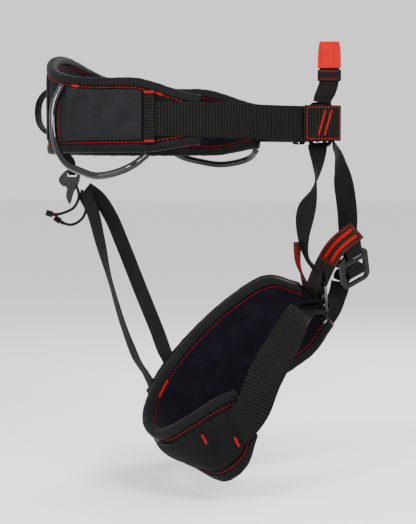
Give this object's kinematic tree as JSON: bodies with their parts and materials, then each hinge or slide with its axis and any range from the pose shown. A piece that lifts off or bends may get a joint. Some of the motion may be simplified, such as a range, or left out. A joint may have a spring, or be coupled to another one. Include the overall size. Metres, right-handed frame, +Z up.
{
  "type": "climbing harness",
  "caption": "Padded climbing harness with a waist belt, tie-in loop, gear loops and padded adjustable leg loops on webbing risers.",
  "frame": {"origin": "middle of the waist belt's opening at the belt's mid-height", "axes": "+Z up along the wearer, +X towards the wearer's left, -Y towards the wearer's front"},
  "size_m": [0.3792, 0.4536, 0.5431],
  "materials": {
    "shell": "matt woven cloth",
    "lining": "matt knitted mesh",
    "foam": "closed-cell foam",
    "binding": "satin tape",
    "panel": "matt fine weave",
    "webbing": "ribbed webbing",
    "patch": "ribbed webbing, brownish black",
    "elastic": "woven elastic",
    "sheath": "bright red woven sheath",
    "tube": "glossy black",
    "cord": "braided cord",
    "buckle": "gloss black",
    "bar": "bright",
    "hook": "dark grey"
  },
  "bodies": {
    "waist_belt": {"waist_outer_shell": "shell", "waist_foam_core": "foam", "waist_inner_lining": "lining", "waist_top_binding": "binding", "waist_bottom_binding": "binding", "back_panel": "panel", "side_panel_right": "panel", "side_panel_left": "panel", "gear_loop_band_right": "webbing", "gear_loop_band_left": "webbing", "waist_webbing_right": "webbing", "waist_webbing_left": "webbing", "front_channel": "webbing", "sling_in_channel": "webbing", "drop_seat_tab": "webbing", "rear_riser_right": "elastic", "rear_riser_left": "elastic"},
    "tie_in_loop": {"tie_in_loop_webbing": "webbing", "tie_in_loop_sheath": "sheath", "tie_in_keeper": "webbing"},
    "waist_buckle": {"waist_buckle_frame": "buckle"},
    "waist_bar": {"waist_slide_bar": "bar"},
    "waist_keeper": {"waist_tail_keeper": "elastic"},
    "gear_loop_right": {"gear_loop_sheath_right": "tube", "gear_loop_cord_right": "cord"},
    "gear_loop_left": {"gear_loop_sheath_left": "tube", "gear_loop_cord_left": "cord"},
    "haul_loop": {"haul_loop": "webbing"},
    "hook": {"drop_seat_hook": "hook", "rear_tail_right": "elastic", "rear_tail_left": "elastic"},
    "right_leg": {"right_leg_outer_shell": "shell", "right_leg_foam_core": "foam", "right_leg_inner_lining": "lining", "right_leg_top_binding": "binding", "right_leg_bottom_binding": "binding", "right_leg_sleeve": "panel", "right_front_riser": "webbing", "right_inner_webbing": "patch", "right_outer_webbing": "webbing"},
    "left_leg": {"left_leg_outer_shell": "shell", "left_leg_foam_core": "foam", "left_leg_inner_lining": "lining", "left_leg_top_binding": "binding", "left_leg_bottom_binding": "binding", "left_leg_sleeve": "panel", "left_front_riser": "webbing", "left_inner_webbing": "patch", "left_outer_webbing": "webbing"},
    "right_buckle": {"right_leg_buckle_frame": "buckle"},
    "left_buckle": {"left_leg_buckle_frame": "buckle"},
    "right_bar": {"right_leg_slide_bar": "bar"},
    "left_bar": {"left_leg_slide_bar": "bar"}
  },
  "joints": [
    {"name": "tie_in_loop_tilt", "type": "hinge", "parent": "waist_belt", "child": "tie_in_loop", "pos_m": [-0.01514, -0.19232, 0.0212], "axis": [0.6, -0.8, 0], "range_deg": [-10, 10], "stiffness_Nm_per_rad": 0.2},
    {"name": "waist_buckle_tilt", "type": "hinge", "parent": "waist_belt", "child": "waist_buckle", "pos_m": [0.01302, -0.18386, -0.0045], "axis": [0, 0, 1], "range_deg": [-0.5, 0.5]},
    {"name": "waist_bar_slide", "type": "slide", "parent": "waist_buckle", "child": "waist_bar", "axis": [-0.5869, -0.8096, 0], "range_m": [-0.002, 0]},
    {"name": "waist_keeper_slide", "type": "slide", "parent": "waist_belt", "child": "waist_keeper", "axis": [-0.5869, -0.8096, 0], "range_m": [-0.004, 0.012]},
    {"name": "gear_loop_right_lift", "type": "hinge", "parent": "waist_belt", "child": "gear_loop_right", "pos_m": [-0.147, 0.006, -0.045], "axis": [0.1908, 0.8062, 0.56], "range_deg": [0, 23], "stiffness_Nm_per_rad": 0.6},
    {"name": "gear_loop_left_lift", "type": "hinge", "parent": "waist_belt", "child": "gear_loop_left", "pos_m": [0.152, -0.038, -0.034], "axis": [0.1357, -0.8463, -0.5152], "range_deg": [0, 23], "stiffness_Nm_per_rad": 0.6},
    {"name": "haul_loop_sway", "type": "hinge", "parent": "waist_belt", "child": "haul_loop", "pos_m": [0, 0.2006, 0.017], "axis": [0, 0, 1], "range_deg": [-3, 3], "stiffness_Nm_per_rad": 0.1},
    {"name": "hook_swing", "type": "hinge", "parent": "waist_belt", "child": "hook", "pos_m": [-0.00179, 0.18049, -0.0639], "axis": [-0.342, 0.9397, 0], "range_deg": [-4, 4], "stiffness_Nm_per_rad": 0.02},
    {"name": "right_leg_swing", "type": "hinge", "parent": "waist_belt", "child": "right_leg", "pos_m": [-0.01015, -0.17373, -0.031], "axis": [0.9397, 0.342, 0], "range_deg": [-25, 8], "stiffness_Nm_per_rad": 2, "springref_deg": 4.62, "deforming": ["rear_riser_right", "right_front_riser"]},
    {"name": "left_leg_swing", "type": "hinge", "parent": "waist_belt", "child": "left_leg", "pos_m": [0.0043, -0.19295, -0.035], "axis": [0.9397, 0.342, 0], "range_deg": [-25, 8], "stiffness_Nm_per_rad": 2, "springref_deg": 5.15, "deforming": ["rear_riser_left", "left_front_riser"]},
    {"name": "right_buckle_tilt", "type": "hinge", "parent": "right_leg", "child": "right_buckle", "pos_m": [-0.03727, -0.1882, -0.21249], "axis": [0.8592, 0.4192, -0.2934], "range_deg": [-4, 5]},
    {"name": "left_buckle_tilt", "type": "hinge", "parent": "left_leg", "child": "left_buckle", "pos_m": [0.06363, -0.20181, -0.17583], "axis": [0.6919, -0.599, 0.403], "range_deg": [-4, 5]},
    {"name": "right_bar_slide", "type": "slide", "parent": "right_buckle", "child": "right_bar", "axis": [0.2639, 0.1282, 0.956], "range_m": [-0.001, 0.0015]},
    {"name": "left_bar_slide", "type": "slide", "parent": "left_buckle", "child": "left_bar", "axis": [-0.5225, -0.0301, 0.8521], "range_m": [-0.001, 0.0015]}
  ]
}
